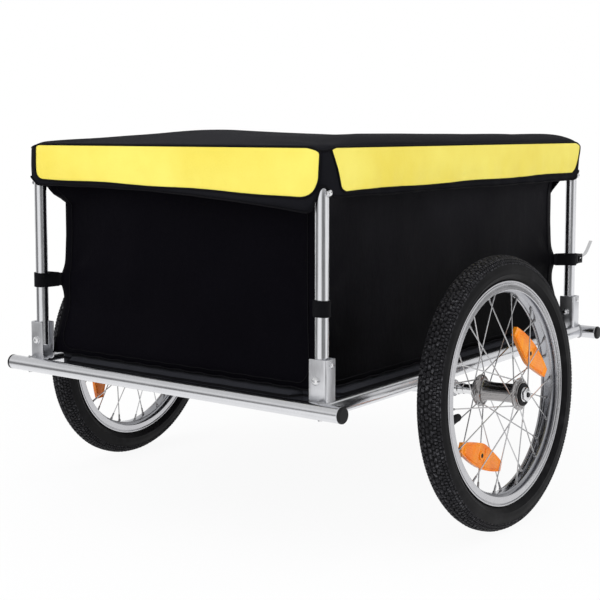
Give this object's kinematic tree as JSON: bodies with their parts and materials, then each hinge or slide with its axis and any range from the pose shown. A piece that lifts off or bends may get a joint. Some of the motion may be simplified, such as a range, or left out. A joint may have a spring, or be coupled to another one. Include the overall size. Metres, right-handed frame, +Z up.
{
  "type": "folding bicycle trailer",
  "caption": "Bicycle cargo trailer: a fabric tub on a tube frame with folding side hoops, a lift-off cover, push-button spoked wheels and a swinging drawbar.",
  "frame": {"origin": "middle of the whole object's footprint, on the floor under the tyres", "axes": "+X to the trailer's right, +Y forwards to the hitch, +Z up"},
  "size_m": [0.8388, 1.5404, 0.5766],
  "materials": {
    "galvanised": "round tube, satin zinc coat",
    "plate": "zinc-coated plate and turned steel",
    "bright": "bright zinc, hub shell and bolts",
    "alloy": "silver rim with a satin brake track",
    "rubber": "matt black tread and smooth sidewall",
    "tube": "black butyl tube",
    "plastic": "moulded black caps, seals, buckle and block",
    "cloth": "black coated woven cloth",
    "floor": "dark grey coated cloth over a stiff board",
    "cover": "coated cloth, yellow sides with black binding and a charcoal top",
    "webbing": "black woven webbing",
    "amber": "orange reflector lens"
  },
  "bodies": {
    "base": {"cross_tube_rear": "galvanised", "end_wall_rear": "cloth", "end_cap_rear_right": "plastic", "bracket_rear_right": "plate", "pivot_bolt_rear_right": "bright", "end_cap_rear_left": "plastic", "bracket_rear_left": "plate", "pivot_bolt_rear_left": "bright", "cross_tube_front": "galvanised", "end_wall_front": "cloth", "end_cap_front_right": "plastic", "bracket_front_right": "plate", "pivot_bolt_front_right": "bright", "end_cap_front_left": "plastic", "bracket_front_left": "plate", "pivot_bolt_front_left": "bright", "side_rail_right": "galvanised", "side_wall_right": "cloth", "side_rail_left": "galvanised", "side_wall_left": "cloth", "floor_panel": "floor", "axle_carrier": "galvanised", "drawbar_bracket": "plate", "drawbar_bolt": "bright"},
    "hoop_right": {"hoop_right": "galvanised", "hoop_screw_front_right": "bright", "hoop_screw_rear_right": "bright", "post_strap_front_right": "webbing", "post_strap_rear_right": "webbing", "strap_buckle": "plastic"},
    "axle_right": {"axle_right": "plate"},
    "button_right": {"release_button_right": "plastic"},
    "wheel_right": {"tyre_right": "rubber", "inner_tube_right": "tube", "rim_right": "alloy", "spoked_hub_right": "bright", "bearing_inner_right": "plastic", "bearing_outer_right": "plastic", "reflector_1_right": "amber", "reflector_2_right": "amber"},
    "hoop_left": {"hoop_left": "galvanised", "hoop_screw_front_left": "bright", "hoop_screw_rear_left": "bright", "post_strap_front_left": "webbing", "post_strap_rear_left": "webbing"},
    "axle_left": {"axle_left": "plate"},
    "button_left": {"release_button_left": "plastic"},
    "wheel_left": {"tyre_left": "rubber", "inner_tube_left": "tube", "rim_left": "alloy", "spoked_hub_left": "bright", "bearing_inner_left": "plastic", "bearing_outer_left": "plastic", "reflector_1_left": "amber", "reflector_2_left": "amber"},
    "cover": {"cover": "cover"},
    "drawbar": {"drawbar": "galvanised", "hitch_block": "plastic", "hitch_fork": "plate"},
    "hitch_pin": {"hitch_pin": "bright"}
  },
  "joints": [
    {"name": "fold_right", "type": "hinge", "parent": "base", "child": "hoop_right", "pos_m": [0.266, -0.35665, 0.2565], "axis": [0, -1, 0], "range_deg": [0, 90], "deforming": ["side_wall_right", "end_wall_front", "end_wall_rear"]},
    {"name": "fold_left", "type": "hinge", "parent": "base", "child": "hoop_left", "pos_m": [-0.266, -0.35665, 0.2565], "axis": [0, 1, 0], "range_deg": [0, 85], "deforming": ["side_wall_left", "end_wall_front", "end_wall_rear"]},
    {"name": "lift_cover", "type": "slide", "parent": "base", "child": "cover", "axis": [0, 0, 1], "range_m": [0, 0.12]},
    {"name": "pull_axle_right", "type": "slide", "parent": "base", "child": "axle_right", "axis": [0.9977, -0.0488, 0.048], "range_m": [0, 0.11]},
    {"name": "press_button_right", "type": "slide", "parent": "axle_right", "child": "button_right", "axis": [-0.9977, 0.0488, -0.048], "range_m": [0, 0.003], "stiffness_N_per_m": 400, "springref_m": -0.003},
    {"name": "roll_right", "type": "hinge", "parent": "axle_right", "child": "wheel_right", "pos_m": [0.3667, -0.43216, 0.20003], "axis": [0.9977, -0.0488, 0.048], "continuous": true},
    {"name": "pull_axle_left", "type": "slide", "parent": "base", "child": "axle_left", "axis": [-0.9977, -0.0488, 0.048], "range_m": [0, 0.11]},
    {"name": "press_button_left", "type": "slide", "parent": "axle_left", "child": "button_left", "axis": [0.9977, 0.0488, -0.048], "range_m": [0, 0.003], "stiffness_N_per_m": 400, "springref_m": -0.003},
    {"name": "roll_left", "type": "hinge", "parent": "axle_left", "child": "wheel_left", "pos_m": [-0.3667, -0.43216, 0.20003], "axis": [0.9977, 0.0488, -0.048], "continuous": true},
    {"name": "swing_drawbar", "type": "hinge", "parent": "base", "child": "drawbar", "pos_m": [-0.185, 0.08164, 0.219], "axis": [0, 0, -1], "range_deg": [0, 90]},
    {"name": "pull_hitch_pin", "type": "slide", "parent": "drawbar", "child": "hitch_pin", "axis": [1, 0, 0], "range_m": [0, 0.05]}
  ]
}
